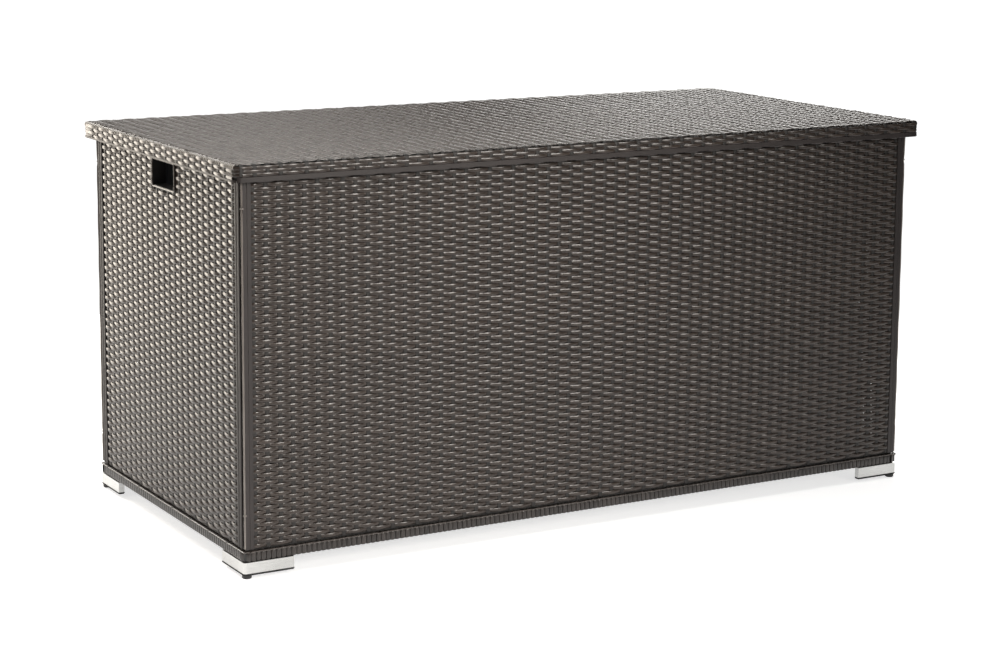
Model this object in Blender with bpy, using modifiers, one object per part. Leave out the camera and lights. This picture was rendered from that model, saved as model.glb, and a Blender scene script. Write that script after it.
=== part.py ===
"""Woven resin storage box with a lift-up lid, on four aluminium corner feet.

Frame: metres, +Z up, +X along the long side, the front faces -Y.  The origin is on the
floor under the centre of the box.
"""
from math import atan2, cos, hypot, radians, sin

import bmesh
import bpy
from mathutils import Matrix, Vector

COLLECTION = "wicker_storage_box"

# Driving dimensions
BODY_X = 1.500            # outside of the woven body, long side
BODY_Y = 0.724            # outside of the woven body, short side
LID_X = 1.542             # outside of the lid
LID_Y = 0.766
LID_TOP = 0.761           # height of the lid's top face above the floor
LID_SKIRT = 0.032         # height of the lid's edge
LID_OVERLAP = 0.0105      # how far the lid's edge hangs below the rim
FIT = 0.0003              # gap between pieces that touch

WEAVE = 0.005             # thickness of the woven skins
TUBE = 0.020              # frame tube, square
GLIDE_H = 0.008           # glide under the foot
PAD_H = 0.002             # black plate under the foot
FOOT_H = 0.0207           # aluminium foot
RAIL_H = 0.020            # base rail
RAIL_W = 0.024
RAIL_PROUD = 0.002        # the base rail stands out past the body
SKIN_GAP = 0.003          # shadow line between base rail and woven skin

FOOT_LEG = 0.100
FOOT_T = 0.012
FOOT_GUSSET = 0.032
GLIDE_IN = 0.0095         # glide axis, in from the foot's outer faces
GLIDE_R = 0.009
STEM_R = 0.003
THREAD_GAP = 0.0004
SCREW_R = 0.0025          # foot screw's shank
SCREW_IN = 0.080          # foot screw, along the foot from its corner

HOLE_Y = 0.105            # clear width of the hand hole
HOLE_Z0 = 0.672
HOLE_Z1 = 0.7215
TRIM_T = 0.0032           # wall of the hand hole's trim

LID_FRAME_T = 0.0122      # height of the lid frame's flat tubes
LID_RING_T = 0.010        # thickness of the lid's upright rim
LID_LEG_X = 0.0557        # width of the lid frame's side tubes
LID_LEG_Y = 0.0397        # width of its front and back tubes
LID_BAR = 0.024           # width of its two cross bars
LID_BAYS = 3

BOLT_Z = (0.130, 0.640)   # heights of the bolts that join the frames
BOLT_R = 0.003

HINGE_X = 0.500           # hinge centres, either side of the middle
HINGE_L = 0.090
LEAF_T = 0.003
PIN_R = 0.002
KNUCKLE_R = 0.0045
KNUCKLES = 5
NOTCH_GAP = 0.0003        # clearance beside each knuckle

STRUT_X = 0.700           # plane of each gas strut
STRUT_FOOT = (0.296, 0.412)   # lower pivot, Y and Z
STRUT_HEAD = (0.262, 0.710)   # upper pivot with the lid shut, Y and Z
STRUT_R = 0.009
ROD_R = 0.004
STUD_R = 0.004
CYLINDER_L = 0.200
ROD_INNER = 0.045         # the rod's inner end, from the lower pivot

BUMPER_X = 0.550          # rubber buttons on the front rim, either side of the middle
BUMPER_R = 0.008

LINER_X = 1.368           # outside of the fabric liner
LINER_Y = 0.668
LINER_T = 0.002
LINER_TOP = 0.715
LINER_LIFT = 0.0048       # its floor, above the frames' lower edge

# Heights that follow
PAD_Z = GLIDE_H
FOOT_Z = PAD_Z + PAD_H + FIT
RAIL_Z = FOOT_Z + FOOT_H + FIT
RAIL_TOP = RAIL_Z + RAIL_H
FRAME_Z = RAIL_TOP + FIT
SKIN_Z = RAIL_TOP + SKIN_GAP
SKIRT_Z = LID_TOP - LID_SKIRT
RIM = SKIRT_Z + LID_OVERLAP
FRAME_TOP = RIM - 0.0005
LID_IN = LID_TOP - WEAVE           # inside face of the lid's skin
LID_FRAME_TOP = LID_IN - FIT
LID_FRAME_Z = LID_FRAME_TOP - LID_FRAME_T
HINGE_Y = BODY_Y / 2 + 0.0105
HINGE_Z = SKIRT_Z - 0.0055

HX = BODY_X / 2
HY = BODY_Y / 2
FRAME_X = HX - WEAVE - FIT         # outer faces of the panel frames
FRAME_Y = HY - WEAVE - FIT
INNER_X = FRAME_X - TUBE + FIT
INNER_Y = FRAME_Y - TUBE + FIT

SIDES = (("left", -1), ("right", 1))
ENDS = (("front", -1), ("back", 1))
CORNERS = [(e + "_" + s, sx, sy) for e, sy in ENDS for s, sx in SIDES]


def clear_scene():
    for ob in list(bpy.data.objects):
        bpy.data.objects.remove(ob, do_unlink=True)


def new_collection(name):
    group = bpy.data.collections.new(name)
    bpy.context.scene.collection.children.link(group)
    return group


clear_scene()
PARTS = new_collection(COLLECTION)
CUTTERS = new_collection("cutters")


def material(name, colour, roughness, metallic=0.0):
    made = bpy.data.materials.new(name)
    made.use_nodes = True
    made.diffuse_color = (*colour, 1.0)
    shader = made.node_tree.nodes["Principled BSDF"]
    shader.inputs["Base Color"].default_value = (*colour, 1.0)
    shader.inputs["Roughness"].default_value = roughness
    shader.inputs["Metallic"].default_value = metallic
    return made


WICKER = material("resin_wicker", (0.055, 0.044, 0.037), 0.38)
COATED = material("coated_aluminium", (0.045, 0.040, 0.037), 0.45, 0.6)
BRUSHED = material("brushed_aluminium", (0.82, 0.82, 0.81), 0.30, 1.0)
PLASTIC = material("black_plastic", (0.018, 0.018, 0.019), 0.5)
RUBBER = material("rubber", (0.02, 0.02, 0.02), 0.75)
STEEL = material("zinc_steel", (0.55, 0.56, 0.57), 0.35, 1.0)
PAINTED = material("strut_black", (0.015, 0.015, 0.016), 0.3, 0.3)
CHROME = material("chrome_rod", (0.75, 0.76, 0.78), 0.12, 1.0)
FABRIC = material("liner_fabric", (0.030, 0.032, 0.040), 0.85)
BOARD = material("floor_board", (0.035, 0.034, 0.034), 0.6)


# ---- shapes ---------------------------------------------------------------

def add_box(bm, lo, hi, bevel=0.0, axis=2, segments=3):
    """Box between two corners; its edges along one axis may be rounded."""
    size = [b - a for a, b in zip(lo, hi)]
    middle = [(a + b) / 2 for a, b in zip(lo, hi)]
    matrix = Matrix.Translation(middle) @ Matrix.Diagonal((*size, 1.0))
    verts = bmesh.ops.create_cube(bm, size=1.0, matrix=matrix)["verts"]
    if bevel:
        edges = {e for v in verts for e in v.link_edges}
        along = [e for e in edges
                 if abs((e.verts[0].co - e.verts[1].co).normalized()[axis]) > 0.99]
        bmesh.ops.bevel(bm, geom=along, offset=bevel, segments=segments, profile=0.5,
                        affect="EDGES")


def add_round(bm, a, b, radius, sides=24):
    """Solid cylinder from point a to point b."""
    start, end = Vector(a), Vector(b)
    run = end - start
    matrix = Matrix.Translation((start + end) / 2) @ run.to_track_quat("Z", "Y").to_matrix().to_4x4()
    bmesh.ops.create_cone(bm, cap_ends=True, segments=sides, radius1=radius, radius2=radius,
                          depth=run.length, matrix=matrix)


def finish(name, bm, group, mat=None, smooth=False):
    mesh = bpy.data.meshes.new(name)
    bm.to_mesh(mesh)
    bm.free()
    ob = bpy.data.objects.new(name, mesh)
    group.objects.link(ob)
    if mat:
        mesh.materials.append(mat)
    if smooth:
        mesh.shade_smooth()
        mesh.set_sharp_from_angle(angle=radians(35))
    return ob


def cutter(name, build):
    bm = bmesh.new()
    build(bm)
    ob = finish(name, bm, CUTTERS)
    ob.hide_render = True
    ob.display_type = "WIRE"
    return ob


def boolean(ob, operation, other):
    step = ob.modifiers.new(operation.lower(), "BOOLEAN")
    step.operation = operation
    step.solver = "EXACT"
    step.object = other


def cut(ob, build):
    boolean(ob, "DIFFERENCE", cutter(ob.name + "_cut_" + str(len(ob.modifiers)), build))


def join(ob, build):
    boolean(ob, "UNION", cutter(ob.name + "_join_" + str(len(ob.modifiers)), build))


def box_part(name, lo, hi, mat, bevel=0.0, axis=2):
    bm = bmesh.new()
    add_box(bm, lo, hi, bevel, axis)
    return finish(name, bm, PARTS, mat, smooth=bevel > 0)


def set_origin(ob, point):
    """Move the object's origin onto its joint's axis, leaving the shape in place."""
    ob.data.transform(Matrix.Translation(-Vector(point)))
    ob.location = point


def ordered(*values):
    return min(values), max(values)


# ---- base -----------------------------------------------------------------

def base_frame():
    """Wrapped base rail round the outside, with three cross bars."""
    outer_x = HX + RAIL_PROUD
    outer_y = HY + RAIL_PROUD
    ob = box_part("base_frame", (-outer_x, -outer_y, RAIL_Z), (outer_x, outer_y, RAIL_TOP),
                  WICKER, bevel=0.010)
    clear_x = outer_x - RAIL_W
    clear_y = outer_y - RAIL_W
    bays = 4
    bay = (2 * clear_x - (bays - 1) * RAIL_W) / bays

    def windows(bm):
        for i in range(bays):
            x0 = -clear_x + i * (bay + RAIL_W)
            add_box(bm, (x0, -clear_y, RAIL_Z - 0.01), (x0 + bay, clear_y, RAIL_TOP + 0.01))

    def screw_holes(bm):
        for _, sx, sy in CORNERS:
            x, y = foot_screw_place(sx, sy)
            add_round(bm, (x, y, RAIL_Z - 0.01), (x, y, RAIL_Z + 0.014), SCREW_R + FIT, 16)
            x, y = glide_place(sx, sy)
            add_round(bm, (x, y, RAIL_Z - 0.01), (x, y, RAIL_Z + 0.012), STEM_R + THREAD_GAP, 16)

    cut(ob, windows)
    cut(ob, screw_holes)


def floor_panel():
    """Floor board on the cross bars, with drain holes."""
    x = INNER_X - 0.0005
    y = INNER_Y - 0.0005
    ob = box_part("floor_panel", (-x, -y, FRAME_Z), (x, y, FRAME_Z + 0.004), BOARD)

    def drains(bm):
        for i in range(4):
            for sy in (-1, 1):
                cx = (i - 1.5) * BODY_X / 4
                cy = sy * BODY_Y / 4
                add_round(bm, (cx, cy, FRAME_Z - 0.01), (cx, cy, FRAME_Z + 0.01), 0.006, 16)

    cut(ob, drains)


# ---- panels ---------------------------------------------------------------

def bolt_x(sx):
    return sx * (FRAME_X - TUBE / 2)


def long_frame(name, sy):
    """Front or back frame: welded square tube with two inner posts."""
    y0, y1 = ordered(sy * INNER_Y, sy * FRAME_Y)
    ob = box_part(name, (-FRAME_X, y0, FRAME_Z), (FRAME_X, y1, FRAME_TOP), COATED)
    bays = 3
    clear = FRAME_X - TUBE
    bay = (2 * clear - (bays - 1) * TUBE) / bays

    def windows(bm):
        for i in range(bays):
            x0 = -clear + i * (bay + TUBE)
            add_box(bm, (x0, y0 - 0.01, FRAME_Z + TUBE), (x0 + bay, y1 + 0.01, FRAME_TOP - TUBE))

    def bolt_holes(bm):
        for _, sx in SIDES:
            for z in BOLT_Z:
                inner = sy * (INNER_Y - 0.01)
                add_round(bm, (bolt_x(sx), inner, z), (bolt_x(sx), sy * (FRAME_Y - 0.004), z),
                          BOLT_R + FIT, 16)

    cut(ob, windows)
    cut(ob, bolt_holes)


def end_frame(name, sx):
    """End frame between the front and back frames, with bars round the hand hole."""
    x0, x1 = ordered(sx * INNER_X, sx * FRAME_X)
    side = INNER_Y - FIT
    ob = box_part(name, (x0, -side, FRAME_Z), (x1, side, FRAME_TOP), COATED)
    hole = HOLE_Y / 2 + TRIM_T + FIT
    sill = HOLE_Z0 - TRIM_T - FIT
    head = HOLE_Z1 + TRIM_T + FIT

    def windows(bm):
        out0, out1 = x0 - 0.01, x1 + 0.01
        for sy in (-1, 1):
            a, b = ordered(sy * (hole + TUBE), sy * (side - TUBE))
            add_box(bm, (out0, a, FRAME_Z + TUBE), (out1, b, FRAME_TOP - TUBE))
        add_box(bm, (out0, -hole, FRAME_Z + TUBE), (out1, hole, sill - TUBE))
        add_box(bm, (out0, -hole, sill), (out1, hole, head))

    def bolt_holes(bm):
        for sy in (-1, 1):
            for z in BOLT_Z:
                add_round(bm, (bolt_x(sx), sy * (side - TUBE - 0.01), z),
                          (bolt_x(sx), sy * (side + 0.01), z), BOLT_R + FIT, 16)

    cut(ob, windows)
    cut(ob, bolt_holes)


def long_skin(name, sy):
    """Woven skin of the front or back, turned round the frame's outer posts."""
    y0, y1 = ordered(sy * (INNER_Y + FIT), sy * HY)
    ob = box_part(name, (-HX, y0, SKIN_Z), (HX, y1, RIM), WICKER, bevel=0.003)
    inside = HX - WEAVE

    def hollow(bm):
        a, b = ordered(sy * (INNER_Y - 0.01), sy * (HY - WEAVE))
        add_box(bm, (-inside, a, SKIN_Z - 0.01), (inside, b, RIM + 0.01))

    cut(ob, hollow)


def end_skin(name, sx):
    """Woven skin of an end, with the hand hole."""
    x0, x1 = ordered(sx * (HX - WEAVE), sx * HX)
    ob = box_part(name, (x0, -INNER_Y, SKIN_Z), (x1, INNER_Y, RIM), WICKER)
    hole = HOLE_Y / 2 + TRIM_T + FIT

    def hand_hole(bm):
        add_box(bm, (x0 - 0.01, -hole, HOLE_Z0 - TRIM_T - FIT),
                (x1 + 0.01, hole, HOLE_Z1 + TRIM_T + FIT))

    cut(ob, hand_hole)


def hand_hole_trim(name, sx):
    """Rectangular sleeve that lines the hand hole."""
    x0, x1 = ordered(sx * (INNER_X - 0.0005), sx * (HX + 0.0007))
    hole = HOLE_Y / 2
    ob = box_part(name, (x0, -hole - TRIM_T, HOLE_Z0 - TRIM_T),
                  (x1, hole + TRIM_T, HOLE_Z1 + TRIM_T), WICKER, bevel=0.002, axis=0)

    def clear(bm):
        add_box(bm, (x0 - 0.01, -hole, HOLE_Z0), (x1 + 0.01, hole, HOLE_Z1))

    cut(ob, clear)


def corner_bolt(name, sx, sy, z):
    """Bolt through an end frame's post into the front or back frame."""
    seat = sy * (INNER_Y - FIT - TUBE - FIT)
    bm = bmesh.new()
    add_round(bm, (bolt_x(sx), seat, z), (bolt_x(sx), seat - sy * 0.005, z), 0.0065, 6)
    ob = finish(name, bm, PARTS, STEEL)

    def shank(bm):
        add_round(bm, (bolt_x(sx), seat - sy * 0.001, z), (bolt_x(sx), sy * (FRAME_Y - 0.0045), z),
                  BOLT_R, 16)

    join(ob, shank)


def liner():
    """Fabric liner, an open bag sewn from five flat panels that hangs inside the frames."""
    x, y, t = LINER_X / 2, LINER_Y / 2, LINER_T
    inner_x, inner_y = x - t - FIT, y - t - FIT
    low = FRAME_Z + LINER_LIFT
    box_part("liner_floor", (-inner_x, -inner_y, low), (inner_x, inner_y, low + t), FABRIC)
    for name, sx in SIDES:
        x0, x1 = ordered(sx * x, sx * (x - t))
        box_part("liner_" + name, (x0, -y, low), (x1, y, LINER_TOP), FABRIC)
    for name, sy in ENDS:
        y0, y1 = ordered(sy * y, sy * (y - t))
        box_part("liner_" + name, (-inner_x, y0, low), (inner_x, y1, LINER_TOP), FABRIC)


def rim_bumper(name, sx):
    """Rubber button on the front rim that the lid lands on."""
    x, y = sx * BUMPER_X, -(FRAME_Y - TUBE / 2)
    bm = bmesh.new()
    add_round(bm, (x, y, FRAME_TOP + FIT), (x, y, LID_FRAME_Z - FIT), BUMPER_R, 24)
    finish(name, bm, PARTS, RUBBER, smooth=True)


# ---- feet -----------------------------------------------------------------

def foot_corner(sx, sy):
    return sx * (HX + RAIL_PROUD), sy * (HY + RAIL_PROUD)


def glide_place(sx, sy):
    x, y = foot_corner(sx, sy)
    return x - sx * GLIDE_IN, y - sy * GLIDE_IN


def foot_screw_place(sx, sy):
    x, y = foot_corner(sx, sy)
    return x - sx * SCREW_IN, y - sy * FOOT_T / 2


def angle_plate(name, sx, sy, z0, height, inset, mat):
    """Flat L with a filled inner corner, from a 2D outline, standing on z0."""
    x, y = foot_corner(sx, sy)
    leg, t, gusset = FOOT_LEG, FOOT_T, FOOT_GUSSET
    outline = [(inset, inset), (leg - inset, inset), (leg - inset, t - inset),
               (gusset, t - inset), (t - inset, gusset), (t - inset, leg - inset),
               (inset, leg - inset)]
    points = [(x - sx * u, y - sy * v) for u, v in outline]
    if sx * sy < 0:
        points.reverse()
    curve = bpy.data.curves.new(name, "CURVE")
    curve.dimensions = "2D"
    curve.fill_mode = "BOTH"
    curve.extrude = height / 2
    spline = curve.splines.new("POLY")
    spline.points.add(len(points) - 1)
    for point, (px, py) in zip(spline.points, points):
        point.co = (px, py, 0.0, 1.0)
    spline.use_cyclic_u = True
    drawn = bpy.data.objects.new(name + "_outline", curve)
    PARTS.objects.link(drawn)
    drawn.location.z = z0 + height / 2
    bpy.context.view_layer.update()
    shape = drawn.evaluated_get(bpy.context.evaluated_depsgraph_get())
    mesh = bpy.data.meshes.new_from_object(shape)
    bm = bmesh.new()
    bm.from_mesh(mesh)
    bmesh.ops.remove_doubles(bm, verts=bm.verts, dist=0.00005)
    bmesh.ops.recalc_face_normals(bm, faces=bm.faces)
    corner = [e for e in bm.edges
              if all(hypot(v.co.x - x + sx * inset, v.co.y - y + sy * inset) < 0.0001
                     for v in e.verts)]
    bmesh.ops.bevel(bm, geom=corner, offset=0.006, segments=5, profile=0.5, affect="EDGES")
    bm.transform(drawn.matrix_world)
    bpy.data.objects.remove(drawn, do_unlink=True)
    bpy.data.meshes.remove(mesh)
    return finish(name, bm, PARTS, mat, smooth=True)


def corner_foot(name, sx, sy):
    """Aluminium angle with holes for the glide's stem and the fixing screw."""
    ob = angle_plate(name, sx, sy, FOOT_Z, FOOT_H, 0.0, BRUSHED)

    def holes(bm):
        for x, y, r in ((*glide_place(sx, sy), STEM_R + THREAD_GAP),
                        (*foot_screw_place(sx, sy), SCREW_R + FIT)):
            add_round(bm, (x, y, FOOT_Z - 0.01), (x, y, FOOT_Z + FOOT_H + 0.01), r, 20)

    def counterbore(bm):
        x, y = foot_screw_place(sx, sy)
        add_round(bm, (x, y, FOOT_Z - 0.01), (x, y, FOOT_Z + 0.004), 0.005, 16)

    cut(ob, holes)
    cut(ob, counterbore)


def foot_pad(name, sx, sy):
    """Black plate under the aluminium foot."""
    ob = angle_plate(name, sx, sy, PAD_Z, PAD_H, 0.0008, PLASTIC)

    def holes(bm):
        for x, y, r in ((*glide_place(sx, sy), STEM_R + THREAD_GAP),
                        (*foot_screw_place(sx, sy), 0.0046)):
            add_round(bm, (x, y, PAD_Z - 0.01), (x, y, PAD_Z + 0.01), r, 20)

    cut(ob, holes)


def foot_screw(name, sx, sy):
    """Screw up through the foot into the base rail."""
    x, y = foot_screw_place(sx, sy)
    bm = bmesh.new()
    add_round(bm, (x, y, PAD_Z + 0.0005), (x, y, FOOT_Z + 0.0035), 0.0042, 16)
    ob = finish(name, bm, PARTS, STEEL, smooth=True)

    def shank(bm):
        add_round(bm, (x, y, FOOT_Z + 0.003), (x, y, RAIL_Z + 0.013), SCREW_R, 16)

    join(ob, shank)


def glide(name, sx, sy):
    """Round glide on a threaded stem, a turned shape about its own axis."""
    x, y = glide_place(sx, sy)
    top = RAIL_Z + 0.011
    rim = 0.0015
    profile = [(0.0, top), (STEM_R, top), (STEM_R, GLIDE_H - FIT), (GLIDE_R - rim, GLIDE_H - FIT),
               (GLIDE_R, GLIDE_H - FIT - rim), (GLIDE_R, rim), (GLIDE_R - rim, 0.0), (0.0, 0.0)]
    bm = bmesh.new()
    verts = [bm.verts.new((r, 0.0, z)) for r, z in profile]
    for a, b in zip(verts, verts[1:]):
        bm.edges.new((a, b))
    ob = finish(name, bm, PARTS, PLASTIC)
    turn = ob.modifiers.new("turn", "SCREW")
    turn.steps = 32
    turn.render_steps = 32
    turn.use_merge_vertices = True
    turn.merge_threshold = 0.00005
    turn.use_smooth_shade = True
    ob.location = (x, y, 0.0)


# ---- lid ------------------------------------------------------------------

def lid_rim():
    """Upright edge of the lid's frame, a ring that stands round the box's rim."""
    x = LID_X / 2 - WEAVE
    y = LID_Y / 2 - WEAVE
    ob = box_part("lid_rim", (-x, -y, SKIRT_Z + 0.002), (x, y, LID_FRAME_TOP), COATED, bevel=0.010)

    def inside(bm):
        add_box(bm, (-x + LID_RING_T, -y + LID_RING_T, SKIRT_Z - 0.01),
                (x - LID_RING_T, y - LID_RING_T, LID_TOP), 0.004)

    cut(ob, inside)


def lid_frame():
    """Flat tubes welded inside the lid's rim."""
    x = LID_X / 2 - WEAVE - LID_RING_T - FIT
    y = LID_Y / 2 - WEAVE - LID_RING_T - FIT
    ob = box_part("lid_frame", (-x, -y, LID_FRAME_Z), (x, y, LID_FRAME_TOP), COATED, bevel=0.004)
    clear_x = x - LID_LEG_X
    clear_y = y - LID_LEG_Y
    bay = (2 * clear_x - (LID_BAYS - 1) * LID_BAR) / LID_BAYS

    def windows(bm):
        for i in range(LID_BAYS):
            x0 = -clear_x + i * (bay + LID_BAR)
            add_box(bm, (x0, -clear_y, LID_FRAME_Z - 0.01), (x0 + bay, clear_y, LID_TOP))

    cut(ob, windows)


def lid_skin():
    """Woven skin over the top and edges of the lid."""
    x, y = LID_X / 2, LID_Y / 2
    bm = bmesh.new()
    add_box(bm, (-x, -y, SKIRT_Z), (x, y, LID_TOP), 0.016, segments=4)
    rim = [e for e in bm.edges if all(v.co.z > LID_TOP - 0.0001 for v in e.verts)]
    bmesh.ops.bevel(bm, geom=rim, offset=0.007, segments=3, profile=0.5, affect="EDGES")
    ob = finish("lid_weave", bm, PARTS, WICKER, smooth=True)
    t = WEAVE - FIT

    def inside(bm):
        add_box(bm, (-x + t, -y + t, SKIRT_Z - 0.01), (x - t, y - t, LID_IN), 0.010)

    cut(ob, inside)


# ---- hinges ---------------------------------------------------------------

def knuckle_spans(centre, first):
    """X ranges of every other one of a hinge's knuckles."""
    step = HINGE_L / KNUCKLES
    for i in range(first, KNUCKLES, 2):
        x0 = centre - HINGE_L / 2 + i * step
        yield x0 - NOTCH_GAP, x0 + step + NOTCH_GAP


def barrel(centre):
    """Full-length barrel round the pin, before the notches are cut."""
    def build(bm):
        add_round(bm, (centre - HINGE_L / 2, HINGE_Y, HINGE_Z), (centre + HINGE_L / 2, HINGE_Y, HINGE_Z),
                  KNUCKLE_R)
    return build


def pin_hole(centre):
    def build(bm):
        add_round(bm, (centre - HINGE_L, HINGE_Y, HINGE_Z), (centre + HINGE_L, HINGE_Y, HINGE_Z),
                  PIN_R + 0.0002)
    return build


def box_leaf(name, sx):
    """Leaf on the outside of the back panel, with the outer and middle knuckles."""
    centre = sx * HINGE_X
    x0, x1 = centre - HINGE_L / 2, centre + HINGE_L / 2
    face = HY + FIT
    ob = box_part(name, (x0, face, HINGE_Z - 0.060), (x1, face + LEAF_T, HINGE_Z - 0.001),
                  STEEL, bevel=0.004, axis=1)

    def arm(bm):
        add_box(bm, (x0, face + 0.0005, HINGE_Z - 0.0042), (x1, HINGE_Y, HINGE_Z - 0.0014))

    def notches(bm):
        for a, b in knuckle_spans(centre, 1):
            add_box(bm, (a, face + LEAF_T, HINGE_Z - 0.02), (b, HINGE_Y + 0.02, HINGE_Z + 0.02))

    def screw_holes(bm):
        for dx in (-0.028, 0.028):
            for dz in (-0.025, -0.048):
                x, z = centre + dx, HINGE_Z + dz
                add_round(bm, (x, face - 0.01, z), (x, face + 0.01, z), 0.0025, 16)

    join(ob, arm)
    join(ob, barrel(centre))
    cut(ob, notches)
    cut(ob, pin_hole(centre))
    cut(ob, screw_holes)


def lid_leaf(name, sx):
    """Cranked leaf: up from the pin, then forward under the lid frame."""
    centre = sx * HINGE_X
    x0, x1 = centre - HINGE_L / 2, centre + HINGE_L / 2
    y0 = HY + 0.0022
    top = LID_FRAME_Z - FIT
    crank_low = HINGE_Z + 0.0052
    ob = box_part(name, (x0, y0 - 0.030, top - LEAF_T), (x1, y0 + LEAF_T, top), STEEL)

    def crank(bm):
        add_box(bm, (x0, y0, HINGE_Z + 0.0008), (x1, y0 + LEAF_T, top - 0.0005))

    def arm(bm):
        add_box(bm, (x0, y0 + 0.0006, HINGE_Z + 0.0012), (x1, HINGE_Y, HINGE_Z + 0.0038))

    def notches(bm):
        for a, b in knuckle_spans(centre, 0):
            add_box(bm, (a, y0 - 0.01, HINGE_Z - 0.02), (b, HINGE_Y + 0.02, crank_low))

    def screw_holes(bm):
        for dx in (-0.03, 0.0, 0.03):
            x, y = centre + dx, y0 - 0.018
            add_round(bm, (x, y, top - 0.02), (x, y, top + 0.02), 0.0025, 16)

    join(ob, crank)
    join(ob, arm)
    join(ob, barrel(centre))
    cut(ob, notches)
    cut(ob, pin_hole(centre))
    cut(ob, screw_holes)
    set_origin(ob, (centre, HINGE_Y, HINGE_Z))


def hinge_pin(name, sx):
    centre = sx * HINGE_X
    bm = bmesh.new()
    add_round(bm, (centre - HINGE_L / 2 - 0.0015, HINGE_Y, HINGE_Z),
              (centre + HINGE_L / 2 + 0.0015, HINGE_Y, HINGE_Z), PIN_R, 20)
    finish(name, bm, PARTS, STEEL, smooth=True)


# ---- gas struts -----------------------------------------------------------

STRUT_RUN = (STRUT_HEAD[0] - STRUT_FOOT[0], STRUT_HEAD[1] - STRUT_FOOT[1])
STRUT_S = hypot(*STRUT_RUN)
STRUT_ANGLE = atan2(STRUT_RUN[1], STRUT_RUN[0])


def along_strut(sx, s):
    """Point on a strut's centre line, s metres from the lower pivot."""
    y = STRUT_FOOT[0] + s * cos(STRUT_ANGLE)
    z = STRUT_FOOT[1] + s * sin(STRUT_ANGLE)
    return Vector((sx * STRUT_X, y, z))


def strut_box_bracket(name, sx):
    """Plate on the end frame's rear post, with the stud that the strut turns on."""
    y, z = STRUT_FOOT
    plate0, plate1 = ordered(sx * (INNER_X - FIT), sx * (INNER_X - FIT - 0.003))
    ob = box_part(name, (plate0, y - 0.012, z - 0.018), (plate1, INNER_Y - 0.002, z + 0.018),
                  STEEL, bevel=0.005, axis=0)

    def stud(bm):
        add_round(bm, (sx * (INNER_X - 0.002), y, z), (sx * (STRUT_X - 0.008), y, z), STUD_R)

    join(ob, stud)


def strut_cylinder(name, sx):
    """Gas cylinder with an eye at its lower end, open at the top for the rod."""
    bm = bmesh.new()
    add_round(bm, along_strut(sx, 0.005), along_strut(sx, CYLINDER_L), STRUT_R, 28)
    ob = finish(name, bm, PARTS, PAINTED, smooth=True)
    y, z = STRUT_FOOT

    def eye(bm):
        add_round(bm, (sx * (STRUT_X - 0.006), y, z), (sx * (STRUT_X + 0.006), y, z), 0.0095, 28)

    def holes(bm):
        add_round(bm, (sx * (STRUT_X - 0.02), y, z), (sx * (STRUT_X + 0.02), y, z), STUD_R + 0.0004)

    def bore(bm):
        add_round(bm, along_strut(sx, ROD_INNER - 0.008), along_strut(sx, CYLINDER_L + 0.02),
                  ROD_R + 0.0005, 20)

    join(ob, eye)
    cut(ob, holes)
    cut(ob, bore)
    set_origin(ob, (sx * STRUT_X, y, z))


def strut_rod(name, sx):
    """Chromed rod with a flat eye that stands beside the lid's bracket."""
    bm = bmesh.new()
    add_round(bm, along_strut(sx, ROD_INNER), along_strut(sx, STRUT_S - 0.004), ROD_R, 20)
    ob = finish(name, bm, PARTS, CHROME, smooth=True)
    y, z = STRUT_HEAD

    def eye(bm):
        add_round(bm, (sx * (STRUT_X - 0.005), y, z), (sx * (STRUT_X + 0.005), y, z), 0.0085, 24)

    def boss(bm):
        add_round(bm, (sx * (STRUT_X + 0.004), y, z), (sx * (STRUT_X + 0.0082), y, z), 0.0045, 20)

    join(ob, eye)
    join(ob, boss)
    set_origin(ob, (sx * STRUT_X, y, z))


def strut_lid_bracket(name, sx):
    """Angle under the lid frame's side tube; its tab holds the strut's upper end."""
    y, z = STRUT_HEAD
    top = LID_FRAME_Z - FIT
    tab = STRUT_X + 0.009
    x0, x1 = ordered(sx * tab, sx * (tab + 0.014))
    ob = box_part(name, (x0, y - 0.020, top - 0.003), (x1, y + 0.020, top), STEEL)

    def upright(bm):
        a, b = ordered(sx * tab, sx * (tab + 0.003))
        add_box(bm, (a, y - 0.010, z - 0.010), (b, y + 0.010, top - 0.0005), 0.005, axis=0)

    join(ob, upright)
    set_origin(ob, (0.0, HINGE_Y, HINGE_Z))


# ---- assembly -------------------------------------------------------------

def main():
    base_frame()
    floor_panel()
    for end, sy in ENDS:
        long_frame(end + "_frame", sy)
        long_skin(end + "_weave", sy)
    for side, sx in SIDES:
        end_frame(side + "_frame", sx)
        end_skin(side + "_weave", sx)
        hand_hole_trim(side + "_hand_hole_trim", sx)
        rim_bumper(side + "_bumper", sx)
        box_leaf(side + "_hinge_box_leaf", sx)
        lid_leaf(side + "_hinge_lid_leaf", sx)
        hinge_pin(side + "_hinge_pin", sx)
        strut_box_bracket(side + "_strut_box_bracket", sx)
        strut_cylinder(side + "_strut_cylinder", sx)
        strut_rod(side + "_strut_rod", sx)
        strut_lid_bracket(side + "_strut_lid_bracket", sx)
    for corner, sx, sy in CORNERS:
        corner_foot("foot_" + corner, sx, sy)
        foot_pad("foot_pad_" + corner, sx, sy)
        foot_screw("foot_screw_" + corner, sx, sy)
        glide("glide_" + corner, sx, sy)
        for level, z in zip(("lower", "upper"), BOLT_Z):
            corner_bolt("bolt_" + corner + "_" + level, sx, sy, z)
    liner()
    lid_rim()
    lid_frame()
    lid_skin()


main()
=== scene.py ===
"""Looks of the woven resin storage box: its strands, metal, plastic and fabric, around the
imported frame.  Metres, +Z up, +X along the long side, the front faces -Y."""
import math

import bpy
import numpy as np
from mathutils import Matrix, Vector


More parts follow.
